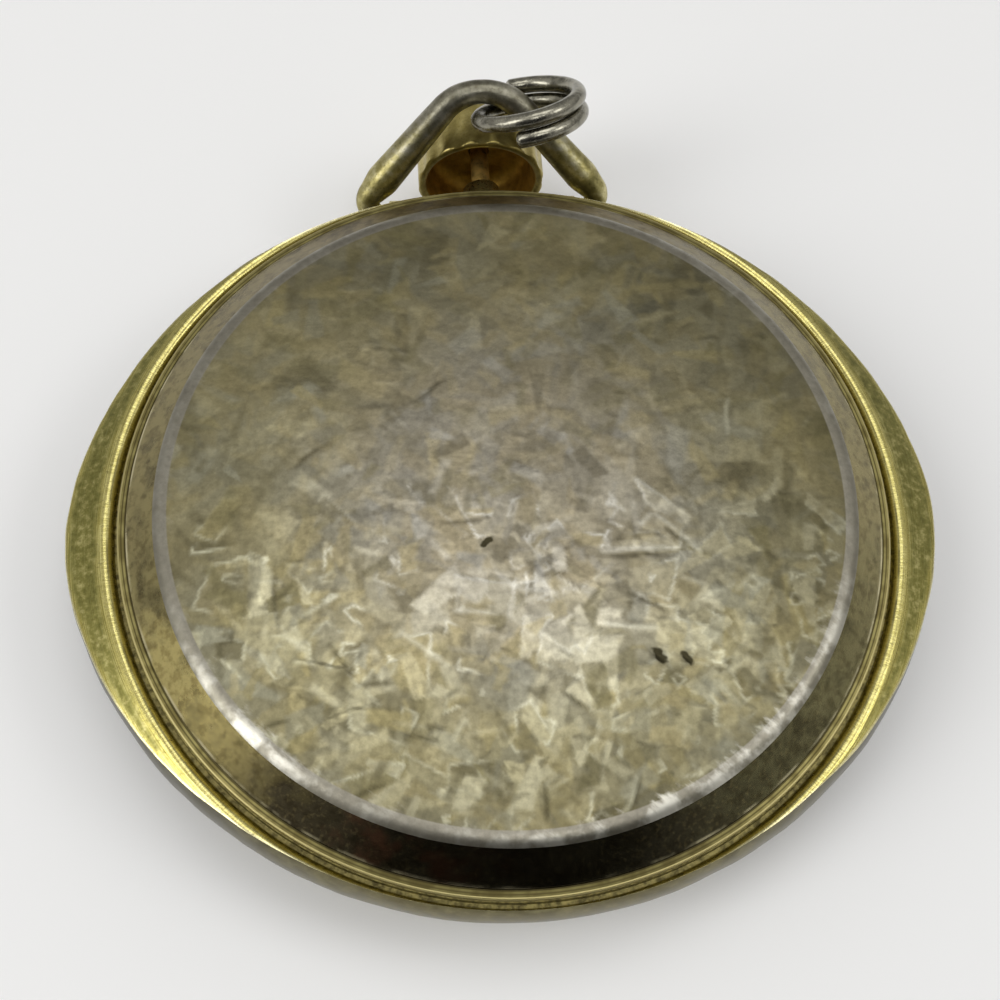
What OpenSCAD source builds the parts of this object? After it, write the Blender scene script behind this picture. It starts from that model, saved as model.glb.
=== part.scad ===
// Oval pendant watch lying on its face: the back cover is up and the crown points along +Y.
// The origin lies on the case axis, in the plane of the flat crystal that it rests on.

/* [Case] */
// Width of the oval case band, across the crown axis
case_w = 42.2; // [42:0.1:42.6]
// Height of the oval case band, along the crown axis
case_h = 38; // [37.9:0.1:38.2]
// Radius of the rounded section of the case band
band_round_r = 3.5; // [3.4:0.05:3.7]
// Height of the widest line of the band above the surface that the watch lies on
girth_z = 4.8; // [4.7:0.05:4.9]
// Slope of the turned shoulder that falls away from the back cover, in degrees
shoulder_slope = 25; // [20:1:28]

/* [Back cover] */
// Radius of the flat face of the back cover, to its rounded edge
face_r = 16.15; // [16:0.05:16.3]
// Radius of the outer edge of the polished bevel
bevel_r = 17.92; // [17.8:0.02:18]
// Height of the bevel
bevel_h = 1.49; // [1.4:0.01:1.55]
// Rise of the slightly domed face at its centre
dome_h = 0.35; // [0.2:0.05:0.5]
// Radius of the rounded edge between the face and the bevel
edge_round_r = 1.2; // [1.1:0.1:1.3]
// Wall thickness of the cover
cover_wall = 0.55; // [0.45:0.05:0.6]

/* [Bezel and crystal] */
// Outer radius of the bezel where it meets the case
bezel_r = 17.4; // [17.2:0.1:17.5]
// Radius of the flat crystal
crystal_r = 15.6; // [15.4:0.1:15.7]
// Thickness of the crystal
crystal_t = 1.1; // [1:0.05:1.2]

/* [Dial and hands] */
// Radius of the dial
dial_r = 16.7; // [16.5:0.05:16.75]
// Angle past twelve o'clock that the hour hand shows
hour_angle = 304; // [0:1:359]
// Angle past twelve o'clock that the minute hand shows
minute_angle = 48; // [0:1:359]

/* [Crown] */
// Outer radius of the crown
crown_r = 3.5; // [3.4:0.05:3.6]
// Length of the crown
crown_l = 3.3; // [3.2:0.1:3.4]
// Distance of the crown's near rim from the case axis
crown_y = 20.7; // [20.6:0.05:20.8]
// Height of the crown axis
crown_z = 4.2; // [4.1:0.05:4.3]
// Number of flutes round the crown
flutes = 16; // [14:1:18]

/* [Bow] */
// Radius of the bow wire halfway up each leg
bow_wire_r = 0.84; // [0.8:0.01:0.86]
// Distance from the pivot to the wire centre at the top of the bow
bow_len = 6.6; // [6.55:0.01:6.65]
// Radius of the round top of the bow, at the wire centre
bow_top_r = 2.75; // [2.7:0.05:2.8]
// Radius of the bend at each foot, where the wire turns in to its pin
bow_foot_r = 0.75; // [0.73:0.01:0.78]
// Slope of the straight legs towards the top, in degrees
bow_leg_slope = 48; // [47.5:0.5:48.5]
// Angle of the bow above the crown axis as it lies
bow_tilt = 56; // [55.8:0.1:56.2]

/* [Split ring] */
// Radius of the ring at the wire centre
ring_r = 2.66; // [2.64:0.01:2.68]
// Radius of the ring wire
ring_wire_r = 0.43; // [0.4:0.01:0.44]
// Rise of the wire in one turn
ring_pitch = 0.9; // [0.89:0.01:0.92]
// Number of turns
ring_turns = 1.6; // [1.58:0.01:1.62]

/* [Hidden] */
$fn = 96;

gold = [0.72, 0.62, 0.30];
worn_steel = [0.62, 0.60, 0.53];
silver = [0.62, 0.61, 0.58];

// Heights of the steps in the case, from the crystal up
bezel_h = 2.4;
dial_t = 0.35;
flange_z = bezel_h + dial_t;
inner_shelf_z = 4.9;
cover_seat_z = 6.25;
shoulder_z = 6.6;
groove_z = 5.85;
face_z = 8.35;

// Radii of the turned steps in the case
cavity_r = 16.2;
dial_seat_r = 16.8;
cover_recess_r = 17;
groove_in_r = 18.4;
groove_r = 18.6;
lip_round_r = 0.45;
front_slope = 8;
turned_r = 24;

// Oval of four tangent arcs that join on lines rising 7 in 24: radii and centre offsets
half_w = case_w / 2;
half_h = case_h / 2;
tip_off = 4 * (half_w - half_h);
tip_r = half_w - tip_off;
side_off = tip_off * 7 / 24;
side_r = half_h + side_off;

// Pendant tube, stem and the lugs that hold the bow
stem_r = 0.5;
stem_clear = 0.05;
stem_inner_y = 16.9;
tube_r = 1;
tube_end_y = 20.3;
tube_start_y = 16.6;
lug_r = 0.75;
lug_in_x = 4;
lug_out_x = 5.1;
pin_r = 0.45;
pin_clear = 0.05;
pivot_y = 18.95;
pivot_z = 4;

// Crown: rim, hollow underside and bore for the stem
crown_wall = 0.45;
crown_floor = 2.25;
crown_bore_end = 2.95;
crown_edge_r = 1;
flute_r = 0.6;
flute_depth = 0.15;

// Hands and the post that they turn on
post_r = 0.55;
post_tip_r = 0.3;
post_step_z = 1.83;
post_tip_z = 1.4;
hand_clear = 0.05;
hour_low_z = 1.9;
minute_low_z = 1.5;
hand_t = 0.15;
hub_t = 0.26;
hour_hub_r = 1.1;
minute_hub_r = 0.8;
hour_len = 8.2;
minute_len = 12.4;
index_len = 2.2;
index_w = 0.55;
index_h = 0.18;
index_out_r = 14.9;

// Cover: flange that sits in the case and press rim below it
cover_flange_r = 18.35;
cover_flange_t = 0.5;
cover_rim_r = 16.95;
cover_rim_wall = 0.6;
cover_rim_low_z = 5;

// Ring: centre, lean of its axis back from the crown axis and sideways, start of the wire
ring_centre = [2.38, 21.1, 9.72];
ring_axis_lift = 54.3;
ring_axis_side = -9.9;
ring_start = 57;
ring_sides = 12;
ring_steps_per_turn = 36;

// Section of the case band for one arc of radius r: a straight slab with a rounded rim
module band_section(r) {
    intersection() {
        union() {
            translate([5, girth_z - band_round_r])
                square([r - band_round_r - 5, 2 * band_round_r]);
            translate([r - band_round_r, girth_z])
                circle(r = band_round_r);
        }
        translate([0, bezel_h - 0.4])
            square([r + 1, shoulder_z - bezel_h + 1]);
    }
}

// One long arc of the band, cut to the wedge that opens along +Y
module side_arc() {
    translate([0, -side_off, 0])
        intersection() {
            rotate_extrude()
                band_section(side_r);
            linear_extrude(height = 12)
                polygon([[0, 0], [48, 14], [48, 40], [-48, 40], [-48, 14]]);
        }
}

// One round end of the band, cut to the wedge that opens along +X
module tip_arc() {
    translate([tip_off, 0, 0])
        intersection() {
            rotate_extrude()
                band_section(tip_r);
            linear_extrude(height = 12)
                polygon([[0, 0], [24, -7], [24, 7]]);
        }
}

// The whole oval slab
module oval_slab() {
    side_arc();
    mirror([0, 1, 0])
        side_arc();
    tip_arc();
    mirror([1, 0, 0])
        tip_arc();
}

// Turned section that gives the case its steps, groove, rounded lip and shoulders
module turned_section() {
    shoulder_drop = (turned_r - groove_r) * tan(shoulder_slope);
    front_rise = (turned_r - bezel_r) * tan(front_slope);
    lip_steps = 6;
    lip_x = groove_r + lip_round_r;
    lip_z = shoulder_z - lip_round_r * (1 / cos(shoulder_slope) + tan(shoulder_slope));
    polygon(concat(
        [[dial_seat_r, bezel_h],
         [bezel_r, bezel_h],
         [turned_r, bezel_h + front_rise],
         [turned_r, shoulder_z - shoulder_drop]],
        [for (i = [0:lip_steps])
            let (a = 90 - shoulder_slope + (90 + shoulder_slope) * i / lip_steps)
            [lip_x + lip_round_r * cos(a), lip_z + lip_round_r * sin(a)]],
        [[groove_r, groove_z],
         [groove_in_r, groove_z],
         [groove_in_r, cover_seat_z],
         [cover_recess_r, cover_seat_z],
         [cover_recess_r, inner_shelf_z],
         [cavity_r, inner_shelf_z],
         [cavity_r, flange_z],
         [dial_seat_r, flange_z]]
    ));
}

// One drilled lug beside the crown, with the web that joins it to the band
module bow_lug() {
    lug_w = lug_out_x - lug_in_x;
    web_depth = 1.2;
    translate([lug_in_x, pivot_y, pivot_z])
        rotate([0, 90, 0])
            cylinder(r = lug_r, h = lug_w);
    translate([lug_in_x, pivot_y - web_depth, pivot_z - lug_r])
        cube([lug_w, web_depth, 2 * lug_r]);
}

module case_body() {
    color(gold)
    difference() {
        union() {
            intersection() {
                oval_slab();
                rotate_extrude()
                    turned_section();
            }
            translate([0, tube_start_y, crown_z])
                rotate([-90, 0, 0])
                    cylinder(r = tube_r, h = tube_end_y - tube_start_y);
            bow_lug();
            mirror([1, 0, 0])
                bow_lug();
        }
        translate([0, tube_start_y - 1, crown_z])
            rotate([-90, 0, 0])
                cylinder(r = stem_r + stem_clear, h = tube_end_y - tube_start_y + 2);
        for (side = [-1, 1])
            translate([side * lug_in_x, pivot_y, pivot_z])
                rotate([0, side * 90, 0])
                    cylinder(r = pin_r + pin_clear, h = lug_out_x - lug_in_x + 1);
    }
}

// Back cover section: radius of the dome's arc, slopes at the edge and the rounded edge's start
dome_r = (face_r * face_r + dome_h * dome_h) / (2 * dome_h);
dome_slope = asin(face_r / dome_r);
bevel_slope = atan(bevel_h / (bevel_r - face_r));
bevel_low_z = face_z - bevel_h;
edge_run = edge_round_r * tan((bevel_slope - dome_slope) / 2);
edge_start = [face_r - edge_run * cos(dome_slope), face_z + edge_run * sin(dome_slope)];
edge_centre = edge_start - edge_round_r * [sin(dome_slope), cos(dome_slope)];
dome_steps = 12;
edge_steps = 10;

// Points of the cover's outside from the bevel's top edge in to the centre, at an inset
function cover_curve(inset) = concat(
    [for (i = [edge_steps:-1:0])
        let (a = dome_slope + (bevel_slope - dome_slope) * i / edge_steps)
        edge_centre + (edge_round_r - inset) * [sin(a), cos(a)]],
    [for (i = [dome_steps - 1:-1:0])
        let (r = (edge_start[0] - inset) * i / dome_steps)
        [r, face_z + dome_h - dome_r + sqrt(dome_r * dome_r - r * r) - inset]]
);

function reversed(list) = [for (i = [len(list) - 1:-1:0]) list[i]];

// Half section of the back cover: domed shell, flange and press rim
module cover_section() {
    rim_in_r = cover_rim_r - cover_rim_wall;
    flange_top_z = cover_seat_z + cover_flange_t;
    slope_in_r = bevel_r - cover_wall * sin(bevel_slope);
    slope_in_z = bevel_low_z - cover_wall * cos(bevel_slope);
    polygon(concat(
        [[rim_in_r, cover_rim_low_z],
         [cover_rim_r, cover_rim_low_z],
         [cover_rim_r, cover_seat_z],
         [cover_flange_r, cover_seat_z],
         [cover_flange_r, flange_top_z],
         [bevel_r, flange_top_z],
         [bevel_r, bevel_low_z]],
        cover_curve(0),
        reversed(cover_curve(cover_wall)),
        [[rim_in_r, slope_in_z + (slope_in_r - rim_in_r) * tan(bevel_slope)]]
    ));
}

module back_cover() {
    color(worn_steel)
    rotate_extrude()
        cover_section();
}

module bezel() {
    lip_in_r = crystal_r - 0.7;
    gap = 0.05;
    color(gold)
    rotate_extrude()
        polygon([
            [crystal_r + gap, 0],
            [bezel_r - 0.9, 0],
            [bezel_r - 0.4, 0.3],
            [bezel_r, 1],
            [bezel_r, bezel_h],
            [cavity_r, bezel_h],
            [cavity_r - 0.3, crystal_t + 0.4],
            [lip_in_r, crystal_t + 0.3],
            [lip_in_r, crystal_t],
            [crystal_r + gap, crystal_t]
        ]);
}

module crystal() {
    color([0.85, 0.9, 0.92, 0.35])
    cylinder(r = crystal_r, h = crystal_t);
}

// Bar that marks one hour, raised on the dial's front
module hour_index(angle) {
    rotate([0, 0, angle])
        translate([-index_w / 2, index_out_r - index_len, bezel_h - index_h])
            cube([index_w, index_len, index_h + 0.05]);
}

module dial() {
    color([0.88, 0.86, 0.8])
    union() {
        translate([0, 0, bezel_h])
            cylinder(r = dial_r, h = dial_t);
        for (hour = [0:11])
            hour_index(30 * hour);
        translate([0, 0, post_step_z])
            cylinder(r = post_r, h = bezel_h - post_step_z);
        translate([0, 0, post_tip_z])
            cylinder(r = post_tip_r, h = bezel_h - post_tip_z);
    }
}

// A hand: a round hub on the post and a tapering blade with a short tail
module watch_hand(low_z, hub_r, bore_r, length, root_w, angle) {
    tail = length * 0.22;
    tip_w = 0.3;
    rotate([0, 0, angle])
        difference() {
            union() {
                translate([0, 0, low_z])
                    cylinder(r = hub_r, h = hub_t);
                translate([0, 0, low_z])
                    linear_extrude(height = hand_t)
                        polygon([
                            [-root_w / 2, -tail],
                            [root_w / 2, -tail],
                            [root_w / 2, length * 0.5],
                            [tip_w / 2, length],
                            [-tip_w / 2, length],
                            [-root_w / 2, length * 0.5]
                        ]);
            }
            translate([0, 0, low_z - 1])
                cylinder(r = bore_r, h = hub_t + 2);
        }
}

module hour_hand() {
    color([0.12, 0.12, 0.13])
    watch_hand(hour_low_z, hour_hub_r, post_r + hand_clear, hour_len, 0.9, hour_angle);
}

module minute_hand() {
    color([0.12, 0.12, 0.13])
    watch_hand(minute_low_z, minute_hub_r, post_tip_r + hand_clear, minute_len, 0.7, minute_angle);
}

module winding_stem() {
    stem_end_y = crown_y + crown_bore_end - 0.1;
    color([0.6, 0.6, 0.6])
    translate([0, stem_inner_y, crown_z])
        rotate([-90, 0, 0])
            cylinder(r = stem_r, h = stem_end_y - stem_inner_y);
}

// Half section of the crown along its own axis: hollow underside, bore and rounded end
module crown_section() {
    body_end = crown_l - crown_edge_r;
    difference() {
        union() {
            square([crown_r, body_end]);
            square([crown_r - crown_edge_r, crown_l]);
            translate([crown_r - crown_edge_r, body_end])
                intersection() {
                    circle(r = crown_edge_r);
                    square(crown_edge_r);
                }
        }
        polygon([
            [-1, -1],
            [crown_r - crown_wall, -1],
            [crown_r - crown_wall, 0],
            [crown_r - 2 * crown_wall, crown_floor],
            [-1, crown_floor]
        ]);
        translate([-1, -1])
            square([stem_r + stem_clear + 1, crown_bore_end + 1]);
    }
}

module crown() {
    flute_centre_r = crown_r + flute_r - flute_depth;
    color(gold)
    translate([0, crown_y, crown_z])
        rotate([-90, 0, 0])
            difference() {
                rotate_extrude()
                    crown_section();
                for (i = [0:flutes - 1])
                    rotate([0, 0, (i + 0.5) * 360 / flutes])
                        translate([flute_centre_r, 0, -1])
                            cylinder(r = flute_r, h = crown_l + 2, $fn = 24);
            }
}

// Bow in its own plane, x across and y away from the pivot: points where its stretches join
apex_y = bow_len - bow_top_r;
leg_top = [bow_top_r * sin(bow_leg_slope), apex_y + bow_top_r * cos(bow_leg_slope)];
foot_x = leg_top[0] + leg_top[1] / tan(bow_leg_slope) - bow_foot_r / tan(bow_leg_slope / 2);
foot_turn = 180 - bow_leg_slope;
leg_foot = [foot_x + bow_foot_r * sin(foot_turn), bow_foot_r * (1 - cos(foot_turn))];
leg_parts = [0, 0.15, 0.32, 0.5];
stub_x = lug_out_x + 0.15;
foot_steps = 12;
leg_steps = 4;
top_steps = 14;
bow_sides = 16;

// Radii of the bow wire at the stub, the end of the foot bend, the leg's top and the bow's top
stub_r = 0.55;
foot_wire_r = 0.72;
leg_low_r = 0.9;
leg_top_r = 0.72;
top_wire_r = 0.62;

// Wire radius at a part of the way up a leg
function leg_r(f) = lookup(f, [[0, foot_wire_r], [0.15, leg_low_r], [0.5, bow_wire_r], [1, leg_top_r]]);

// Steps along the right half, from the stub up to the bow's top: wire centre, direction, radius
bow_half = concat(
    [[[stub_x, 0], 0, stub_r]],
    [for (i = [0:foot_steps])
        let (a = foot_turn * i / foot_steps,
             r = stub_r + (foot_wire_r - stub_r) * i / foot_steps)
        [[foot_x + bow_foot_r * sin(a), bow_foot_r * (1 - cos(a))], a, r]],
    [for (i = [1:leg_steps - 1])
        let (f = leg_parts[i])
        [leg_foot + (leg_top - leg_foot) * f, foot_turn, leg_r(f)]],
    [for (i = [0:top_steps - 1])
        let (a = foot_turn + bow_leg_slope * i / top_steps,
             r = leg_top_r + (top_wire_r - leg_top_r) * i / top_steps)
        [[bow_top_r * sin(a), apex_y - bow_top_r * cos(a)], a, r]]
);
bow_steps = concat(
    bow_half,
    [[[0, bow_len], 180, top_wire_r]],
    [for (i = [len(bow_half) - 1:-1:0])
        [[-bow_half[i][0][0], bow_half[i][0][1]], 360 - bow_half[i][1], bow_half[i][2]]]
);

// Corner k of the wire's section at one step
function bow_corner(step, k) =
    let (a = step[1] - 90,
         b = 360 * k / bow_sides)
    [step[0][0] + step[2] * cos(b) * cos(a), step[0][1] + step[2] * cos(b) * sin(a), step[2] * sin(b)];

// Skin of a bent wire given as rings of corners, closed at both ends
function wire_faces(rings, sides) = concat(
    [for (i = [0:rings - 2], k = [0:sides - 1])
        let (n = (k + 1) % sides)
        [i * sides + k, i * sides + n, (i + 1) * sides + n, (i + 1) * sides + k]],
    [[for (k = [sides - 1:-1:0]) k]],
    [[for (k = [0:sides - 1]) (rings - 1) * sides + k]]
);

// Pin that stands out of one end of the wire
module bow_pin(side) {
    pin_start = lug_in_x + 0.15;
    translate([side * pin_start, 0, 0])
        rotate([0, side * 90, 0])
            cylinder(r = pin_r, h = stub_x + 0.25 - pin_start);
}

module bow() {
    corners = [for (step = bow_steps, k = [0:bow_sides - 1]) bow_corner(step, k)];
    color(gold)
    translate([0, pivot_y, pivot_z])
        rotate([bow_tilt, 0, 0])
            union() {
                polyhedron(points = corners, faces = wire_faces(len(bow_steps), bow_sides), convexity = 6);
                bow_pin(1);
                bow_pin(-1);
            }
}

// Unit axis of the ring and two directions across it
ring_axis = [sin(ring_axis_side),
             cos(ring_axis_side) * cos(ring_axis_lift),
             cos(ring_axis_side) * sin(ring_axis_lift)];
ring_e1 = unit(cross([0, 0, 1], ring_axis));
ring_e2 = cross(ring_axis, ring_e1);

function unit(v) = v / norm(v);

// Point on the wire centre after t turns
function coil_point(t) =
    let (a = ring_start + 360 * t)
    ring_centre + ring_r * (cos(a) * ring_e1 + sin(a) * ring_e2)
    + (t - ring_turns / 2) * ring_pitch * ring_axis;

// Corner k of the wire's section after t turns
function coil_corner(t, k) =
    let (a = ring_start + 360 * t,
         out = cos(a) * ring_e1 + sin(a) * ring_e2,
         b = 360 * k / ring_sides)
    coil_point(t) + ring_wire_r * (cos(b) * out + sin(b) * ring_axis);

module split_ring() {
    steps = ceil(ring_steps_per_turn * ring_turns);
    corners = [for (i = [0:steps], k = [0:ring_sides - 1]) coil_corner(ring_turns * i / steps, k)];
    color(silver)
    polyhedron(points = corners, faces = wire_faces(steps + 1, ring_sides), convexity = 6);
}

case_body();
back_cover();
bezel();
crystal();
dial();
hour_hand();
minute_hand();
winding_stem();
crown();
bow();
split_ring();
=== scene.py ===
from math import acos, asin, atan, atan2, ceil, cos, hypot, pi, radians, sin, sqrt, tan

import bpy
import numpy as np
from mathutils import Matrix, Vector


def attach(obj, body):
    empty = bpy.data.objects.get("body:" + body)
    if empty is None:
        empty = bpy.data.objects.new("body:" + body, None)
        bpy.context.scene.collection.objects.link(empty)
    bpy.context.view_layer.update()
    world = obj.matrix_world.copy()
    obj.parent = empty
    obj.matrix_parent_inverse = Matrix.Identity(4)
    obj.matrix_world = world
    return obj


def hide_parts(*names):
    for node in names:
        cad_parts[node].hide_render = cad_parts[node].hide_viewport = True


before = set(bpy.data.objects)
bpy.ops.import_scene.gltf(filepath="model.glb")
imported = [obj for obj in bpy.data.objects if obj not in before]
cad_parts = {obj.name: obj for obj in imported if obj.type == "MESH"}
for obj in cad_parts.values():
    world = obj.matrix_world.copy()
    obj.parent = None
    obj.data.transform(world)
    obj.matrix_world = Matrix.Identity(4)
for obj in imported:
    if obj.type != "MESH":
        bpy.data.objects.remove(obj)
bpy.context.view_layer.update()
MM = 0.001


# Mesh helpers

def circle(count):
    """Angles evenly round a full turn."""
    return np.arange(count) * 2 * pi / count


def ease(t):
    """Soft step from 0 to 1."""
    return t * t * (3 - 2 * t)


def new_object(name, data):
    obj = bpy.data.objects.new(name, data)
    bpy.context.scene.collection.objects.link(obj)
    return obj


def make_piece(name, verts, faces, body, materials, replaces, sharp, face_slots=None):
    """A mesh piece from vertices in millimetres, riding on a body."""
    mesh = bpy.data.meshes.new(name)
    mesh.from_pydata((np.asarray(verts, float) * MM).tolist(), [], faces)
    mesh.update()
    mesh.polygons.foreach_set("use_smooth", [True] * len(mesh.polygons))
    mesh.set_sharp_from_angle(angle=radians(sharp))
    for m in materials:
        mesh.materials.append(m)
    if face_slots is not None:
        mesh.polygons.foreach_set("material_index", face_slots)
    obj = new_object(name, mesh)
    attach(obj, body)
    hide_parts(replaces)
    return obj


def point_values(obj, name, values):
    """Keeps one value for each vertex, for the material to read."""
    obj.data.attributes.new(name, "FLOAT", "POINT").data.foreach_set("value", values)


def grid_faces(nu, nv, close_u=True, close_v=True, start=0, flip=False):
    """Quads of a grid whose vertex (u, v) is start + u * nv + v."""
    u = np.arange(nu if close_u else nu - 1)
    v = np.arange(nv if close_v else nv - 1)
    U, V = np.meshgrid(u, v, indexing="ij")
    U2, V2 = (U + 1) % nu, (V + 1) % nv
    q = np.stack([U * nv + V, U2 * nv + V, U2 * nv + V2, U * nv + V2], -1).reshape(-1, 4) + start
    if flip:
        q = q[:, ::-1]
    return q.tolist()


def fillet(points, radii, steps=5, closed=True):
    """Polyline whose corner i is rounded to radii[i]; every rounded corner gives steps + 1 points."""
    pts = np.asarray(points, float)
    n = len(pts)
    out = []
    for i in range(n):
        p = pts[i]
        r = radii[i]
        if r <= 0 or (not closed and i in (0, n - 1)):
            out.append(p)
            continue
        a, b = pts[i - 1] - p, pts[(i + 1) % n] - p
        la, lb = np.linalg.norm(a), np.linalg.norm(b)
        a, b = a / la, b / lb
        half = 0.5 * acos(max(-1.0, min(1.0, float(a @ b))))
        if half > 1.55:
            for k in range(steps + 1):
                out.append(p + (a * (1 - k / steps) + b * (k / steps)) * 1e-3)
            continue
        t = min(r / tan(half), 0.46 * la, 0.46 * lb)
        r = t * tan(half)
        c = p + (a + b) / np.linalg.norm(a + b) * (r / sin(half))
        s, e = p + a * t - c, p + b * t - c
        turn = atan2(s[0] * e[1] - s[1] * e[0], float(s @ e))
        for k in range(steps + 1):
            w = turn * k / steps
            out.append(c + np.array([s[0] * cos(w) - s[1] * sin(w),
                                     s[0] * sin(w) + s[1] * cos(w)]))
    return np.array(out)


def split_long(points, most):
    """Adds points so that no stretch of an open polyline is longer than most."""
    pts = np.asarray(points, float)
    out = []
    for a, b in zip(pts, pts[1:]):
        k = max(1, ceil(np.linalg.norm(b - a) / most))
        out.extend(a + (b - a) * j / k for j in range(k))
    out.append(pts[-1])
    return np.array(out)


def wire(centres, radii, across, sides=28):
    """Vertices and faces of a round wire with closed ends; across is a direction across all of it."""
    tangent = np.gradient(centres, axis=0)
    tangent /= np.linalg.norm(tangent, axis=1)[:, None]
    sec = across - (across * tangent).sum(1)[:, None] * tangent
    sec /= np.linalg.norm(sec, axis=1)[:, None]
    out = np.cross(sec, tangent)
    b = np.linspace(0, 2 * pi, sides, endpoint=False)
    ring = out[:, None, :] * np.cos(b)[None, :, None] + sec[:, None, :] * np.sin(b)[None, :, None]
    rings = centres[:, None, :] + ring * radii[:, None, None]
    faces = grid_faces(len(centres), sides, close_u=False, flip=True)
    n = len(centres) * sides
    for end, first in enumerate((0, n - sides)):
        for j in range(sides):
            tri = (first + j, first + (j + 1) % sides, n + end)
            faces.append(tri if end else tri[::-1])
    return np.vstack([rings.reshape(-1, 3), centres[0], centres[-1]]), faces


def waves(count, shortest, longest, amplitude, seed):
    """Smooth random height over x and y, from seeded sine waves."""
    r = np.random.default_rng(seed)
    lengths = shortest * (longest / shortest) ** r.random(count)
    ang = r.random(count) * 2 * pi
    phase = r.random(count) * 2 * pi
    size = amplitude * lengths / longest

    def height(x, y):
        h = np.zeros_like(x)
        for i in range(count):
            k = 2 * pi / lengths[i]
            h += size[i] * np.sin(k * (x * cos(ang[i]) + y * sin(ang[i])) + phase[i])
        return h
    return height


# Material helpers

def add_node(tree, kind, inputs=None, **props):
    """A shader node with its properties set and its inputs linked or set."""
    n = tree.nodes.new(kind)
    for k, v in props.items():
        setattr(n, k, v)
    for k, v in (inputs or {}).items():
        if isinstance(v, bpy.types.NodeSocket):
            tree.links.new(v, n.inputs[k])
        else:
            n.inputs[k].default_value = v
    return n


def rgba(colour):
    """A colour with its alpha, or a socket as it is."""
    return colour if isinstance(colour, bpy.types.NodeSocket) else (*colour, 1.0)


class Net:
    """Short ways to add shader nodes; positions are in millimetres."""

    def __init__(self, name, flat=False):
        self.dimensions = "2D" if flat else "3D"
        self.mat = bpy.data.materials.new(name)
        self.mat.use_nodes = True
        self.tree = self.mat.node_tree
        self.tree.nodes.clear()
        coord = self.add("ShaderNodeTexCoord")
        self.pos = self.vec("SCALE", coord.outputs["Object"], scale=1000.0)
        self.x, self.y, self.z = self.add("ShaderNodeSeparateXYZ", {0: self.pos}).outputs
        if flat:
            self.pos = self.join(self.x, self.y)

    def add(self, kind, inputs=None, **props):
        return add_node(self.tree, kind, inputs, **props)

    def math(self, op, a, b=0.0, c=0.0):
        return self.add("ShaderNodeMath", {0: a, 1: b, 2: c}, operation=op).outputs[0]

    def mul(self, a, b):
        return self.math("MULTIPLY", a, b)

    def plus(self, a, b):
        return self.math("ADD", a, b)

    def minus(self, a, b):
        return self.math("SUBTRACT", a, b)

    def scaled(self, a, by, then):
        return self.math("MULTIPLY_ADD", a, by, then)

    def strayed(self, a, noise, amount):
        """A value that wanders with a noise, by half the amount either way."""
        return self.plus(a, self.scaled(noise, amount, -amount / 2))

    def near(self, a, value, low, high, most=1.0):
        """The most near a value, 0 far from it."""
        return self.smooth(self.math("ABSOLUTE", self.minus(a, value)), low, high, most, 0.0)

    def vec(self, op, a, b=None, scale=None):
        ins = {k: v for k, v in ((0, a), (1, b), ("Scale", scale)) if v is not None}
        n = self.add("ShaderNodeVectorMath", ins, operation=op)
        return n.outputs["Value" if op == "LENGTH" else "Vector"]

    def join(self, x, y, z=0.0):
        return self.add("ShaderNodeCombineXYZ", {0: x, 1: y, 2: z}).outputs[0]

    def noise(self, scale, detail=3.0, rough=0.55, at=None, colour=False):
        n = self.add("ShaderNodeTexNoise", {"Vector": at or self.pos, "Scale": scale, "Detail": detail,
                                            "Roughness": rough}, noise_dimensions=self.dimensions)
        return n.outputs["Color" if colour else "Fac"]

    def ramp(self, fac, stops):
        n = self.add("ShaderNodeValToRGB", {0: fac})
        e = n.color_ramp.elements
        while len(e) < len(stops):
            e.new(0.5)
        for i, (p, c) in enumerate(stops):
            e[i].position = p
            e[i].color = (*c, 1.0) if isinstance(c, tuple) else (c, c, c, 1.0)
        return n.outputs[0]

    def around(self, a, stops):
        """Values by angle round the case in degrees from +X, blended between stops."""
        turn = self.math("FRACT", self.scaled(a, 1 / (2 * pi), 1.0))
        return self.ramp(turn, [(d / 360, v) for d, v in stops])

    def smooth(self, v, low, high, to_low=0.0, to_high=1.0):
        return self.add("ShaderNodeMapRange", {0: v, 1: low, 2: high, 3: to_low, 4: to_high},
                        interpolation_type="SMOOTHSTEP").outputs[0]

    def mix(self, fac, a, b, blend="MIX"):
        return self.add("ShaderNodeMix", {0: fac, 6: rgba(a), 7: rgba(b)},
                        data_type="RGBA", blend_type=blend).outputs[2]

    def mix_value(self, fac, a, b):
        return self.add("ShaderNodeMix", {0: fac, 2: a, 3: b}).outputs[0]

    def turned(self, v, degrees, stretch_x, stretch_y):
        n = self.add("ShaderNodeMapping", {"Vector": v, "Rotation": (0, 0, radians(degrees))})
        return self.add("ShaderNodeMapping", {"Vector": n.outputs[0],
                                              "Scale": (stretch_x, stretch_y, 1.0)}).outputs[0]

    def polar(self, along, outward):
        """Coordinates that run round the case axis and outwards, then the radius and the angle."""
        r = self.math("SQRT", self.plus(self.mul(self.x, self.x), self.mul(self.y, self.y)))
        a = self.math("ARCTAN2", self.y, self.x)
        return self.join(self.mul(a, along), self.mul(r, outward), self.mul(self.z, outward)), r, a

    def bump(self, height, strength, distance):
        return self.add("ShaderNodeBump", {"Height": height, "Strength": strength,
                                           "Distance": distance}).outputs[0]

    def shader(self, colour, rough, metallic=1.0, **extra):
        ins = {"Base Color": rgba(colour), "Roughness": rough, "Metallic": metallic}
        ins.update((k.replace("_", " "), v) for k, v in extra.items())
        b = self.add("ShaderNodeBsdfPrincipled", ins)
        self.add("ShaderNodeOutputMaterial", {0: b.outputs[0]})
        return self.mat


# Camera, fitted to the outlines of the cover and the case band, in millimetres and degrees

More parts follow.
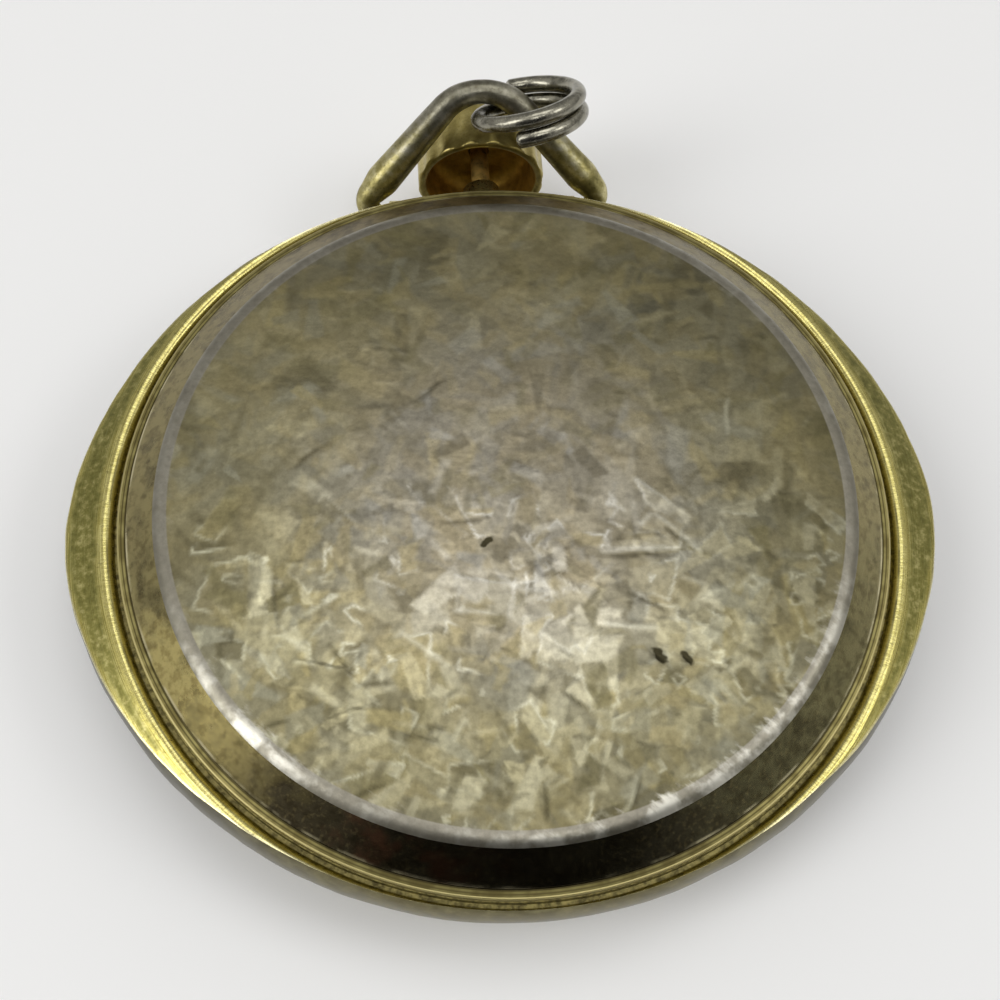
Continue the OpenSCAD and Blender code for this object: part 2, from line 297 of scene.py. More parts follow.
CAMERA_AIM = np.array([-0.4415, -0.5004, 8.35])
CAMERA_ELEVATION, CAMERA_AZIMUTH, CAMERA_ROLL, CAMERA_DISTANCE = 65.15, -8.4, 5.25, 65.0139
LENS, SENSOR_WIDTH = 50.4, 36.0
PHOTO_SIZE = 1000


def camera_axes():
    """The camera's right, up and backward directions."""
    e, a, roll = np.radians([CAMERA_ELEVATION, CAMERA_AZIMUTH, CAMERA_ROLL])
    back = np.array([sin(a) * cos(e), -cos(a) * cos(e), sin(e)])
    level = np.array([cos(a), sin(a), 0.0])
    up = np.cross(back, level)
    return cos(roll) * level + sin(roll) * up, cos(roll) * up - sin(roll) * level, back


RIGHT, UP, BACK = camera_axes()
CAMERA_PLACE = CAMERA_AIM + CAMERA_DISTANCE * BACK


def on_face(px, py):
    """Place on the domed face, in millimetres, that the photograph shows at a pixel."""
    across, down = (np.array([px, py]) / PHOTO_SIZE - 0.5) * SENSOR_WIDTH / LENS
    ray = RIGHT * across - UP * down - BACK
    place = np.zeros(2)
    for _ in range(4):
        top = FACE_Z + DOME_H - DOME_H * (place @ place) / FACE_R ** 2
        place = (CAMERA_PLACE + ray * (top - CAMERA_PLACE[2]) / ray[2])[:2]
    return place


def ends_on_face(px1, py1, px2, py2):
    """Both ends of a mark, from pixels, to a hundredth of a millimetre."""
    return [round(c, 2) for c in (*on_face(px1, py1), *on_face(px2, py2))]


def width_on_face(px1, py1, px2, py2, width):
    """Width of a mark across its middle, from pixels, to a hundredth of a millimetre."""
    across = np.array([py1 - py2, px2 - px1]) * width / 2 / hypot(px2 - px1, py2 - py1)
    middle = np.array([px1 + px2, py1 + py2]) / 2
    return round(hypot(*(on_face(*(middle + across)) - on_face(*(middle - across)))), 2)


# Worn face marks, read off the photograph

# Flakes, in its pixels: tone, start x, y, end x, y, width.
FLAKES = (
    ("pale", 262, 568, 262, 638, 24), ("gold", 402, 634, 412, 690, 44), ("cream", 268, 662, 308, 652, 34),
    ("shade", 350, 712, 420, 716, 46), ("gold", 447, 702, 472, 698, 14), ("shade", 213, 650, 243, 650, 22),
    ("gold", 409, 542, 408, 574, 18), ("gold", 468, 512, 491, 510, 6), ("cream", 620, 544, 678, 542, 10),
    ("gold", 571, 540, 607, 538, 12), ("cream", 624, 578, 672, 580, 32), ("gold", 808, 604, 808, 636, 16),
    ("shade", 790, 588, 826, 590, 24), ("gold", 600, 702, 616, 698, 14), ("gold", 508, 742, 540, 734, 30),
    ("cream", 727, 670, 729, 724, 26), ("shade", 795, 643, 796, 664, 10), ("tan", 415, 316, 457, 296, 22),
    ("tan", 392, 402, 438, 372, 18), ("tan", 281, 462, 313, 436, 26), ("tan", 296, 356, 330, 340, 26),
    ("shade", 339, 274, 338, 324, 22), ("shade", 432, 246, 433, 294, 28), ("tan", 516, 258, 552, 256, 18),
    ("shade", 667, 278, 668, 308, 20), ("shade", 755, 342, 757, 378, 24), ("olive", 670, 422, 700, 418, 24),
    ("pale", 452, 590, 520, 600, 26), ("pale", 540, 640, 620, 650, 60), ("cream", 640, 622, 700, 640, 30),
)
# Creases and scratches, in its pixels: start x, y, end x, y. The first table is drawn as painted shade lines, the
# second as painted highlight lines.
PAINTED_SHADE_LINES = (
    (355, 684, 391, 683),
    (259, 729, 291, 721), (329, 643, 353, 679), (404, 735, 438, 739), (424, 726, 447, 728),
    (353, 797, 387, 785), (440, 523, 494, 517), (594, 555, 670, 555), (627, 592, 670, 612),
    (558, 688, 589, 710), (627, 817, 643, 777), (293, 468, 329, 441), (411, 403, 447, 379),
    (273, 574, 277, 634), (544, 781, 547, 821), (664, 527, 682, 540),
)
PAINTED_HIGHLIGHT_LINES = (
    (451, 611, 500, 613), (279, 634, 311, 650), (400, 632, 450, 667), (728, 397, 726, 435),
    (638, 524, 654, 513), (654, 513, 679, 531), (679, 531, 703, 553), (600, 550, 668, 548),
    (624, 815, 639, 777), (500, 575, 520, 590), (520, 590, 560, 592), (598, 622, 660, 628),
)
# Two nicks and a speck with dark bottoms, in millimetres: x, y, turn in degrees, half length, half width.
NICKS = ((6.13, -8.47, -48, 0.46, 0.22), (7.37, -8.62, -50, 0.40, 0.18), (-1.14, -2.65, 35, 0.36, 0.17))
# The nicks as dents, with their depth last.
DENTS = ((6.13, -8.47, -48, 0.42, 0.2, 0.09), (7.37, -8.62, -50, 0.38, 0.18, 0.08))
TONES = {"pale": (0.78, 0.73, 0.58), "cream": (0.60, 0.545, 0.39), "gold": (0.50, 0.43, 0.25),
         "tan": (0.44, 0.38, 0.24), "olive": (0.31, 0.275, 0.165), "grey": (0.38, 0.353, 0.278),
         "shade": (0.225, 0.198, 0.13), "silver": (0.49, 0.473, 0.405)}
# Colours of the painted highlights and the painted shade on the face's lines and stroke edges.
PAINTED_HIGHLIGHT, PAINTED_SHADE = np.array([1.0, 0.97, 0.84]), np.array([0.10, 0.085, 0.05])
# Layers of strokes: usual half length, how many, strength. The flakes come before one of them.
LAYERS = ((1.9, 100, 0.4), (1.25, 430, 0.6), (0.85, 620, 0.62), (0.5, 420, 0.55))
FLAKES_BEFORE = 0.85
SCRATCHES = 260


def lower_part(y):
    """0 in the dull upper part of the face, 1 and more in its lower part, where strokes are stronger and carry more
    painted edge highlights.
    """
    return (1.5 - y) / 7.0


def segment_distance(xy, x1, y1, x2, y2):
    """Distance to a line between two points, and the place along it."""
    d = np.array([x2 - x1, y2 - y1])
    t = np.clip(((xy[:, 0] - x1) * d[0] + (xy[:, 1] - y1) * d[1]) / (d @ d), 0, 1)
    return np.hypot(xy[:, 0] - x1 - t * d[0], xy[:, 1] - y1 - t * d[1]), t


def paint_face(xy, reach):
    """Colour, roughness change and height of the worn face at each point.

    Overlapping strokes lie in layers from large to small, some with painted edge highlights. Then come creases and
    scratches as painted shade and highlight lines, and last painted shade towards the sides, the top and the
    bottom.
    """
    r = np.random.default_rng(101)
    x, y = xy[:, 0], xy[:, 1]
    tone = waves(24, 4.0, 14.0, 0.16, 5)(x, y)
    blotch = waves(40, 0.9, 5.0, 0.10, 6)(x, y)
    light = 1 + 0.3 * np.clip(tone, -1, 1) + 0.35 * np.clip(blotch, -0.5, 0.5)
    base = np.array(TONES["grey"])[None] * light[:, None]
    base = base * np.array([1.0, 0.975, 0.90]) ** (1 + 2 * np.clip(tone, -0.5, 0.5))[:, None]
    height = np.zeros(len(xy))
    sheen = np.zeros(len(xy))
    edge_noise = waves(30, 0.3, 1.6, 0.013, 8)(x, y)
    lie = waves(12, 6.0, 16.0, 1.4, 9)
    names = ["pale", "cream", "gold", "tan", "olive", "grey", "shade", "silver"]
    upper = np.array([0.00, 0.09, 0.10, 0.26, 0.18, 0.19, 0.13, 0.05])
    lower = np.array([0.14, 0.20, 0.13, 0.18, 0.06, 0.10, 0.12, 0.07])

    def draw(cx, cy, long, wide, turn, kind, strength, lift, tilt, soft, edge_highlight=0.0):
        span = hypot(long, wide) + 0.4
        sel = np.nonzero((np.abs(x - cx) < span) & (np.abs(y - cy) < span))[0]
        if not len(sel):
            return
        u, v = x[sel] - cx, y[sel] - cy
        gap = np.full(len(sel), -9.0)
        for far, side in ((long, 0), (wide, 90), (long, 180), (wide, 270)):
            t = turn + radians(side + r.uniform(-18, 18))
            gap = np.maximum(gap, u * cos(t) + v * sin(t) - far * r.uniform(0.8, 1.1))
        gap = gap + edge_noise[sel]
        m = ease(np.clip(0.5 - gap / soft, 0, 1))
        a = (m * strength)[:, None]
        base[sel] = base[sel] * (1 - a) + np.array(TONES[kind])[None] * a
        rise = u * cos(tilt[0]) + v * sin(tilt[0])
        height[sel] += m * (lift + rise * tilt[1])
        sheen[sel] = sheen[sel] * (1 - m) + m * r.uniform(-0.5, 0.5)
        # painted highlight along the edge on the raised side of the stroke
        if edge_highlight:
            side = np.clip(rise / wide, 0, 1)
            e = (np.exp(-(gap / 0.075) ** 2) * side * edge_highlight)[:, None]
            base[sel] = base[sel] * (1 - e) + PAINTED_HIGHLIGHT[None] * e

    for size, count, strength in LAYERS:
        if size == FLAKES_BEFORE:
            for kind, *ends, width in FLAKES:
                width = width_on_face(*ends, width)
                x1, y1, x2, y2 = ends_on_face(*ends)
                # flakes low on the face also get a painted edge highlight
                low = y1 < -1
                draw((x1 + x2) / 2, (y1 + y2) / 2, hypot(x2 - x1, y2 - y1) / 2, width / 2,
                     atan2(y2 - y1, x2 - x1), kind, 0.75 if low else 0.45, 0.002,
                     (r.random() * 6.28, 0.006), 0.25, 0.6 if low else 0.0)
        for _ in range(count):
            rad, a = reach * sqrt(r.random()), r.random() * 2 * pi
            cx, cy = rad * cos(a), rad * sin(a)
            part = min(1.0, max(0.0, lower_part(cy)))
            if size < 0.6 and r.random() > 0.3 + part:
                continue
            chance = upper * (1 - part) + lower * part
            long = size * r.uniform(0.6, 1.4)
            turn = float(lie(np.array([cx]), np.array([cy]))[0])
            turn += radians(r.choice([0, 60, -55, 90]) + r.uniform(-20, 20))
            # some strokes in the lower part get a painted edge highlight
            edge_highlight = r.uniform(0.2, 0.75) if r.random() < 0.27 * part and size < 1.5 else 0.0
            draw(cx, cy, long, long * r.uniform(0.18, 0.5), turn, names[r.choice(8, p=chance / chance.sum())],
                 min(0.95, strength * r.uniform(0.45, 1.3) * (0.8 + 0.2 * part)), r.uniform(-0.002, 0.003),
                 (r.random() * 6.28, r.uniform(0.0, 0.022) * (0.25 + 0.75 * part)),
                 r.uniform(0.14, 0.36) - 0.07 * part, edge_highlight)

    def line(x1, y1, x2, y2, width, strength, light):
        """A crease or scratch: a soft stroke that fades at both ends, with a little relief, drawn as a painted
        highlight line when light and as a painted shade line otherwise.
        """
        sel = np.nonzero((x > min(x1, x2) - 0.5) & (x < max(x1, x2) + 0.5)
                         & (y > min(y1, y2) - 0.5) & (y < max(y1, y2) + 0.5))[0]
        bend = 0.05 * np.sin(1.7 * x[sel] + 2.3 * y[sel])
        d, t = segment_distance(xy[sel] + np.column_stack([bend, -bend]), x1, y1, x2, y2)
        e = np.exp(-(d / width) ** 2) * np.clip(4 * t * (1 - t), 0, 1) ** 0.35
        tint = PAINTED_HIGHLIGHT if light else PAINTED_SHADE
        base[sel] = base[sel] * (1 - strength * e[:, None]) + tint[None] * strength * e[:, None]
        height[sel] += (0.005 if light else -0.007) * e

    for mark in PAINTED_SHADE_LINES:
        line(*ends_on_face(*mark), 0.13, 0.7, False)
    for mark in PAINTED_HIGHLIGHT_LINES:
        line(*ends_on_face(*mark), 0.12, 0.4, True)
    # random scratches, about half as painted highlight lines and the rest as painted shade lines
    for _ in range(SCRATCHES):
        rad, a = 15.2 * sqrt(r.random()), r.random() * 2 * pi
        cx, cy = rad * cos(a), rad * sin(a)
        part = min(1.0, max(0.25, lower_part(cy)))
        t = radians(r.choice([5, 40, -35, 75]) + r.uniform(-18, 18))
        long = 0.3 + 1.6 * r.random() ** 2
        line(cx, cy, cx + long * cos(t), cy + long * sin(t), r.uniform(0.09, 0.13),
             r.uniform(0.12, 0.4) * part, r.random() < 0.5)
    # painted shade: the face colour darkened towards its sides, more on the right, and towards the bottom and the
    # top
    shade_at_bottom = np.clip((-9.5 - y) / 5.0, 0, 1)
    shade_at_top = np.clip((y - 4.0) / 8.0, 0, 1)
    level = 0.66 - 0.0008 * x * x - 0.006 * x - 0.22 * shade_at_bottom - 0.10 * shade_at_top
    far = ease(np.clip((np.hypot(x, y) - 4.0) / 9.0, 0, 1))
    tint = np.column_stack([np.ones(len(xy)), np.ones(len(xy)), 1.03 - 0.20 * far])
    return np.clip(base * level[:, None] * tint, 0.02, 0.9), sheen, height


# Materials

def face_material():
    """Cover face: the strokes of worn plating with their painted shade and highlights, with specks, nicks and a
    bare rim carrying painted highlights.
    """
    n = Net("worn_cover_face", flat=True)
    r = n.vec("LENGTH", n.pos)
    paint = n.add("ShaderNodeAttribute", attribute_name="flake_and_painted_light_colour").outputs["Color"]
    sheen = n.add("ShaderNodeAttribute", attribute_name="flake_sheen").outputs["Fac"]
    ragged = n.vec("SUBTRACT", n.noise(1.7, 2.0, colour=True), (0.5, 0.5, 0.5))
    # small pale and dark specks
    speck = n.noise(3.0, 2.0, 0.5)
    fine = n.noise(10.0, 2.0)
    colour = n.mix(1.0, paint, n.ramp(speck, [(0.3, 0.9), (0.5, 1.0), (0.7, 1.07)]), "MULTIPLY")
    colour = n.mix(1.0, colour, n.ramp(fine, [(0.35, 0.965), (0.65, 1.02)]), "MULTIPLY")
    rough = n.plus(n.scaled(speck, -0.12, 0.46), n.mul(sheen, 0.16))
    # two oblique nicks and a dark speck
    for cx, cy, turn, long, wide in NICKS:
        q = n.turned(n.vec("SUBTRACT", n.pos, (cx, cy, 0)), -turn, 1 / long, 1 / wide)
        q = n.vec("ADD", q, n.vec("SCALE", ragged, scale=1.3))
        spot = n.smooth(n.vec("LENGTH", q), 0.7, 1.25, 1.0, 0.0)
        colour = n.mix(n.mul(spot, 0.96), colour, (0.035, 0.03, 0.015))
    # bare rim where the plating has gone, with painted highlights along it at the lower left and the lower right
    streak, _, a = n.polar(26.0, 2.2)
    band = n.smooth(n.strayed(r, n.noise(0.5, 2.0), 0.7), 16.0, 16.3)
    band = n.mul(band, n.around(a, [(0, 0.35), (40, 0.3), (90, 0.25), (140, 0.3), (180, 0.35), (218, 0.65),
                                    (242, 0.15), (262, 0.15), (280, 0.65), (330, 0.6), (359, 0.35)]))
    bare = n.ramp(n.noise(1.0, 2.0, at=streak), [(0.3, (0.20, 0.185, 0.14)), (0.55, (0.25, 0.235, 0.18)),
                                              (0.78, (0.33, 0.315, 0.25))])
    # painted highlight: near-white colour on the rim by angle round the case, reaching a little inward
    lit = n.around(a, [(0, 0.15), (200, 0.1), (224, 0.7), (236, 0.35), (255, 0.15), (280, 0.7),
                       (305, 0.75), (330, 0.45), (345, 0.1)])
    lit = n.mul(lit, n.smooth(n.noise(0.6, 4.0), 0.40, 0.62))
    colour = n.mix(band, colour, bare)
    highlight_reach = n.strayed(r, n.noise(1.6, 4.0, 0.6, n.turned(n.pos, 40, 0.6, 1.6)), 1.6)
    colour = n.mix(n.mul(lit, n.smooth(highlight_reach, 15.5, 16.25)), colour, (0.80, 0.78, 0.69))
    rough = n.mix_value(band, rough, 0.33)
    return n.shader(colour, n.math("MAXIMUM", rough, 0.2),
                    Normal=n.bump(n.noise(2.4, 2.0, 0.5), 0.3, 0.00003))


def bevel_material():
    """Gold-tone bevel, dark olive with tarnish blotches and handling marks, its tone round the case painted as
    reflection: gold at the lower left, near black with brown at the bottom.
    """
    n = Net("polished_bevel")
    streak, r, a = n.polar(14.0, 9.0)
    wander = n.noise(0.8, 4.0, 0.6)
    fine = n.noise(5.0, 3.0)
    a = n.scaled(wander, 0.5, n.minus(a, 0.25))
    # painted reflection by angle: bright gold at the lower left where a window is reflected, near black at the
    # bottom where the dark front is reflected
    tone = n.around(a, [(0, (0.30, 0.255, 0.115)), (40, (0.25, 0.21, 0.095)), (90, (0.17, 0.125, 0.05)),
                        (150, (0.24, 0.20, 0.09)), (195, (0.34, 0.29, 0.13)), (205, (0.56, 0.47, 0.19)),
                        (217, (0.42, 0.35, 0.14)), (234, (0.075, 0.062, 0.035)), (290, (0.075, 0.066, 0.04)),
                        (306, (0.13, 0.12, 0.06)), (325, (0.27, 0.245, 0.12)), (359, (0.30, 0.255, 0.115))])
    colour = n.mix(n.smooth(wander, 0.3, 0.55, 0.5, 0.0), tone, (0.055, 0.045, 0.022))
    colour = n.mix(n.smooth(fine, 0.5, 0.72, 0.0, 0.3), colour, (0.34, 0.28, 0.13))
    patch = n.smooth(n.noise(2.1, 4.0, 0.6), 0.44, 0.66, 0.0, 0.55)
    colour = n.mix(patch, colour, n.mix(1.0, colour, (0.42, 0.38, 0.32), "MULTIPLY"))
    # brown painted reflection at the bottom
    brown_reflection = n.mul(n.near(a, -1.87, 0.0, 0.25), n.smooth(n.noise(0.7, 2.0), 0.38, 0.6))
    colour = n.mix(n.mul(brown_reflection, 0.6), colour, (0.20, 0.085, 0.045))
    top = n.smooth(n.strayed(r, n.noise(1.2, 2.0), 0.3), 16.2, 16.38, 1.0, 0.0)
    colour = n.mix(top, colour, (0.24, 0.225, 0.17))
    # painted highlight along the lower edge, then the gold flange with a thin dark line between
    edge = n.mul(n.smooth(r, 17.78, 17.86), n.smooth(n.noise(0.6, 3.0), 0.42, 0.6))
    colour = n.mix(n.mul(edge, 0.7), colour, (0.74, 0.67, 0.42))
    flange = n.smooth(r, 17.93, 17.95)
    gold = n.mix(n.smooth(n.noise(0.9, 3.0), 0.36, 0.62), (0.17, 0.14, 0.05), (0.30, 0.26, 0.10))
    shade = n.around(a, [(0, 1.0), (228, 1.0), (250, 0.5), (290, 0.5), (314, 1.0)])
    gold = n.mix(1.0, gold, shade, "MULTIPLY")
    gold = n.mix(n.smooth(r, 18.24, 18.27), gold, (0.44, 0.38, 0.17))
    gold = n.mix(n.near(r, 18.14, 0.015, 0.05, 0.75), gold, (0.06, 0.048, 0.018))
    colour = n.mix(flange, colour, gold)
    colour = n.mix(n.mul(n.near(r, 17.96, 0.03, 0.07), 0.8), colour, (0.035, 0.028, 0.012))
    rough = n.around(a, [(0, 0.18), (50, 0.2), (75, 0.46), (105, 0.46), (130, 0.2), (200, 0.22),
                         (230, 0.15), (320, 0.15)])
    rough = n.mix_value(flange, n.scaled(wander, 0.16, rough), 0.42)
    return n.shader(colour, rough, Normal=n.bump(n.noise(1.0, 3.0, at=streak), 0.10, 0.00001))


def gold_material(name):
    """Worn gold plate on brass: turned marks, satin patches and olive tarnish."""
    n = Net(name)
    mottle = n.noise(1.3, 5.0, 0.62)
    fine = n.noise(7.0, 4.0, 0.6)
    colour = n.ramp(mottle, [(0.28, (0.26, 0.215, 0.07)), (0.48, (0.46, 0.39, 0.14)), (0.7, (0.66, 0.58, 0.25))])
    colour = n.mix(n.smooth(fine, 0.52, 0.72, 0.0, 0.5), colour, (0.17, 0.14, 0.045))
    pits = n.add("ShaderNodeTexVoronoi", {"Vector": n.pos, "Scale": 5.5}).outputs["Distance"]
    pits = n.mul(n.smooth(pits, 0.05, 0.16, 1.0, 0.0), n.smooth(n.noise(0.7, 2.0), 0.5, 0.6))
    colour = n.mix(n.mul(pits, 0.6), colour, (0.07, 0.055, 0.02))
    streak, ticks = n.polar(5.0, 16.0)[0], n.polar(260.0, 1.2)[0]
    height = n.plus(n.noise(1.0, 3.0, at=streak), n.mul(n.noise(1.0, 2.0, at=ticks), 0.5))
    height = n.minus(height, n.mul(pits, 0.8))
    return n.shader(colour, n.scaled(fine, 0.28, 0.16), Normal=n.bump(height, 0.35, 0.000015))


def shoulder_material():
    """Case shoulder from the lip out to its worn outer edge, by the distance kept on the mesh."""
    n = Net("case_shoulder")
    streak, r, _ = n.polar(3.0, 24.0)
    satin = n.polar(300.0, 1.6)[0]
    out = n.add("ShaderNodeAttribute", attribute_name="edge_distance").outputs["Fac"]
    mottle = n.noise(0.9, 4.0, 0.6)
    fine = n.noise(6.0, 4.0, 0.6)
    long = n.noise(1.0, 3.0, 0.6, at=streak)
    drift = n.scaled(mottle, 0.6, -0.3)
    colour = n.ramp(long, [(0.28, (0.22, 0.19, 0.045)), (0.48, (0.46, 0.40, 0.115)), (0.68, (0.74, 0.67, 0.28))])
    # olive-green, scratched outer part of the wide ends
    from_lip = n.minus(r, LIP_START_R)
    green = n.mul(n.smooth(n.plus(from_lip, drift), 0.6, 1.0), n.smooth(n.plus(out, drift), 0.08, 0.4))
    tarnish = n.ramp(n.noise(2.6, 4.0, 0.65), [(0.3, (0.10, 0.10, 0.025)), (0.52, (0.22, 0.205, 0.06)),
                                                      (0.7, (0.50, 0.45, 0.19))])
    colour = n.mix(n.mul(green, 0.85), colour, tarnish)
    # satin lip, its dark inner line and the bright outer edge, worn and with a painted highlight
    grain = n.smooth(n.noise(1.0, 2.0, at=satin), 0.3, 0.7)
    lip = n.smooth(n.scaled(drift, 0.6, from_lip), 0.40, 0.7, 1.0, 0.0)
    colour = n.mix(n.mul(lip, 0.75), colour, n.mix(grain, (0.48, 0.42, 0.14), (0.72, 0.65, 0.28)))
    ridge = n.mul(n.near(r, 18.86, 0.02, 0.07), n.smooth(n.noise(0.5, 2.0), 0.4, 0.6))
    colour = n.mix(n.mul(ridge, 0.6), colour, (0.13, 0.105, 0.03))
    colour = n.mix(n.mul(n.smooth(out, 0.04, 0.13, 1.0, 0.0), 0.7), colour, (0.74, 0.69, 0.44))
    colour = n.mix(n.smooth(fine, 0.52, 0.72, 0.0, 0.5), colour, (0.12, 0.10, 0.025))
    rough = n.plus(n.scaled(fine, 0.22, 0.13), n.mul(green, 0.14))
    height = n.plus(long, n.mul(n.mul(grain, lip), 0.3))
    return n.shader(colour, rough, Normal=n.bump(height, 0.3, 0.000016))


def wall_material():
    """Case wall below the shoulder: dark grey at the sides, grey-gold towards the crown and the foot."""
    n = Net("case_wall")
    streak, _, a = n.polar(6.0, 9.0)
    mottle = n.noise(1.4, 4.0, 0.6)
    gold = n.ramp(mottle, [(0.3, (0.11, 0.094, 0.04)), (0.5, (0.15, 0.13, 0.06)), (0.7, (0.22, 0.195, 0.095))])
    grey = n.ramp(mottle, [(0.3, (0.09, 0.083, 0.058)), (0.5, (0.12, 0.112, 0.08)), (0.7, (0.17, 0.16, 0.115))])
    side = n.smooth(n.math("ABSOLUTE", n.math("COSINE", a)), 0.35, 0.9)
    return n.shader(n.mix(side, gold, grey), n.scaled(mottle, 0.25, 0.2),
                    Normal=n.bump(n.noise(1.0, 3.0, at=streak), 0.3, 0.000015))


def grime_material():
    """Old dirt in the groove round the cover."""
    n = Net("groove_grime")
    speck = n.noise(4.0, 3.0)
    colour = n.ramp(speck, [(0.35, (0.10, 0.083, 0.03)), (0.65, (0.34, 0.29, 0.11))])
    return n.shader(colour, 0.5, 0.8, Normal=n.bump(speck, 0.4, 0.00003))


def crown_material():
    """Gold-tone crown, duller outside and darker amber in its hollow."""
    n = Net("crown_gold")
    mottle = n.noise(1.8, 4.0, 0.6)
    fine = n.noise(8.0, 3.0)
    radius = n.vec("LENGTH", n.join(n.x, n.minus(n.z, STEM_Z)))
    colour = n.ramp(mottle, [(0.28, (0.31, 0.25, 0.08)), (0.5, (0.42, 0.345, 0.12)), (0.72, (0.56, 0.48, 0.20))])
    colour = n.mix(n.smooth(fine, 0.5, 0.72, 0.0, 0.35), colour, (0.15, 0.12, 0.035))
    hollow = n.mul(n.smooth(radius, 3.0, 3.06, 1.0, 0.0), n.smooth(n.y, 23.2, 23.0))
    amber = n.ramp(mottle, [(0.3, (0.24, 0.135, 0.02)), (0.7, (0.50, 0.31, 0.06))])
    rough = n.scaled(hollow, 0.18, n.scaled(fine, 0.22, 0.24))
    return n.shader(n.mix(hollow, colour, amber), rough,
                    Normal=n.bump(n.noise(3.0, 3.0), 0.25, 0.00004))


def bow_material():
    """Bow wire: gold at the feet, worn to grey where the ring and chain rub near the top."""
    n = Net("bow_gold")
    mottle = n.noise(1.3, 4.0, 0.6)
    fine = n.noise(7.0, 4.0, 0.6)
    gold = n.ramp(mottle, [(0.3, (0.20, 0.175, 0.06)), (0.5, (0.40, 0.35, 0.14)), (0.68, (0.66, 0.60, 0.32))])
    grey = n.ramp(mottle, [(0.3, (0.13, 0.121, 0.085)), (0.5, (0.24, 0.227, 0.172)), (0.7, (0.41, 0.39, 0.31))])
    colour = n.mix(n.smooth(n.strayed(n.z, mottle, 4.0), 6.2, 9.0), gold, grey)
    colour = n.mix(n.smooth(fine, 0.52, 0.72, 0.0, 0.5), colour, (0.09, 0.078, 0.035))
    return n.shader(colour, n.scaled(fine, 0.25, 0.27),
                    Normal=n.bump(n.noise(2.2, 4.0), 0.5, 0.00006))


def steel_material(name, tone, least):
    """Mottled steel or nickel of one tone; least is its lowest roughness."""
    n = Net(name)
    colour = n.ramp(n.noise(2.2, 4.0, 0.6), [(0.3, tuple(0.45 * c for c in tone)), (0.5, tone),
                                                    (0.7, tuple(1.25 * c for c in tone))])
    return n.shader(colour, n.scaled(n.noise(12.0, 3.0), 0.22, least),
                    Normal=n.bump(n.noise(3.0, 3.0), 0.4, 0.00004))


def dial_material():
    """Aged cream dial with a printed minute track and gilt bars."""
    n = Net("dial_paint")
    r = n.vec("LENGTH", n.join(n.x, n.y))
    speck = n.noise(9.0, 4.0, 0.6)
    colour = n.ramp(n.noise(0.35, 3.0), [(0.3, (0.70, 0.66, 0.55)), (0.7, (0.80, 0.77, 0.68))])
    colour = n.mix(n.smooth(speck, 0.6, 0.75, 0.0, 0.3), colour, (0.55, 0.49, 0.36))
    minutes = n.scaled(n.math("ARCTAN2", n.y, n.x), 60 / (2 * pi), 30.5)
    tick = n.math("ABSOLUTE", n.minus(n.math("FRACT", minutes), 0.5))
    width = n.math("DIVIDE", 0.08 * 60 / (2 * pi), r)
    on = n.mul(n.math("LESS_THAN", tick, width),
               n.mul(n.math("GREATER_THAN", r, 15.25), n.math("LESS_THAN", r, 15.85)))
    rail = n.math("MAXIMUM", n.math("COMPARE", r, 15.2, 0.03), n.math("COMPARE", r, 15.9, 0.03))
    colour = n.mix(n.math("MAXIMUM", on, rail), colour, (0.03, 0.03, 0.032))
    bars = n.smooth(n.z, 2.30, 2.36, 1.0, 0.0)
    colour = n.mix(n.mul(bars, n.math("LESS_THAN", r, 15.0)), colour, (0.62, 0.50, 0.22))
    return n.shader(colour, n.smooth(speck, 0.3, 0.7, 0.34, 0.48), 0.0, Normal=n.bump(speck, 0.1, 0.00001))


def glass_material():
    n = Net("crystal_glass")
    wear = n.noise(1.0, 3.0, at=n.turned(n.pos, 20, 0.4, 8.0))
    rough = n.smooth(wear, 0.5, 0.75, 0.01, 0.06)
    return n.shader((0.95, 0.97, 0.97), rough, 0.0, Transmission_Weight=1.0, IOR=1.5)


def hand_material():
    n = Net("hand_black")
    speck = n.noise(8.0, 4.0)
    colour = n.ramp(speck, [(0.35, (0.012, 0.012, 0.014)), (0.7, (0.0328, 0.0328, 0.0366))])
    return n.shader(colour, n.smooth(speck, 0.3, 0.7, 0.25, 0.4), 0.2, Normal=n.bump(speck, 0.1, 0.00001))


# Back cover

FACE_R, BEVEL_R, BEVEL_H, FACE_Z, DOME_H, EDGE_R = 16.15, 17.92, 1.49, 8.35, 0.35, 1.2
FLANGE_R, FLANGE_TOP, FLANGE_LOW = 18.35, 6.75, 6.25
FACE_RINGS, EDGE_STEPS = 138, 12


def cover_profile():
    """Section of the cover from the edge of the face down to the flange, then inside to the axis."""
    dome_r = (FACE_R ** 2 + DOME_H ** 2) / (2 * DOME_H)
    slope = asin(FACE_R / dome_r)
    bevel = atan(BEVEL_H / (BEVEL_R - FACE_R))
    run = EDGE_R * tan((bevel - slope) / 2)
    start = np.array([FACE_R - run * cos(slope), FACE_Z + run * sin(slope)])
    centre = start - EDGE_R * np.array([sin(slope), cos(slope)])
    arc = [centre + EDGE_R * np.array([sin(t), cos(t)])
           for t in np.linspace(slope, bevel, EDGE_STEPS + 1)]
    foot = (16.95, FLANGE_LOW)
    outer = [arc[-1], (BEVEL_R, FACE_Z - BEVEL_H), (BEVEL_R, FLANGE_TOP), (FLANGE_R, FLANGE_TOP),
             (FLANGE_R, FLANGE_LOW), foot]
    outer = split_long(fillet(outer, [0, 0.05, 0.04, 0.07, 0.04, 0], 4, closed=False), 0.3)
    inner = split_long([foot, (16.95, 5.0), (16.35, 5.0), (16.35, 7.4), (15.4, 7.95), (12.0, 7.98),
                        (6.0, 8.1), (0.4, 8.15)], 4.0)
    return dome_r, start, np.vstack([arc, outer[1:], inner[1:]])


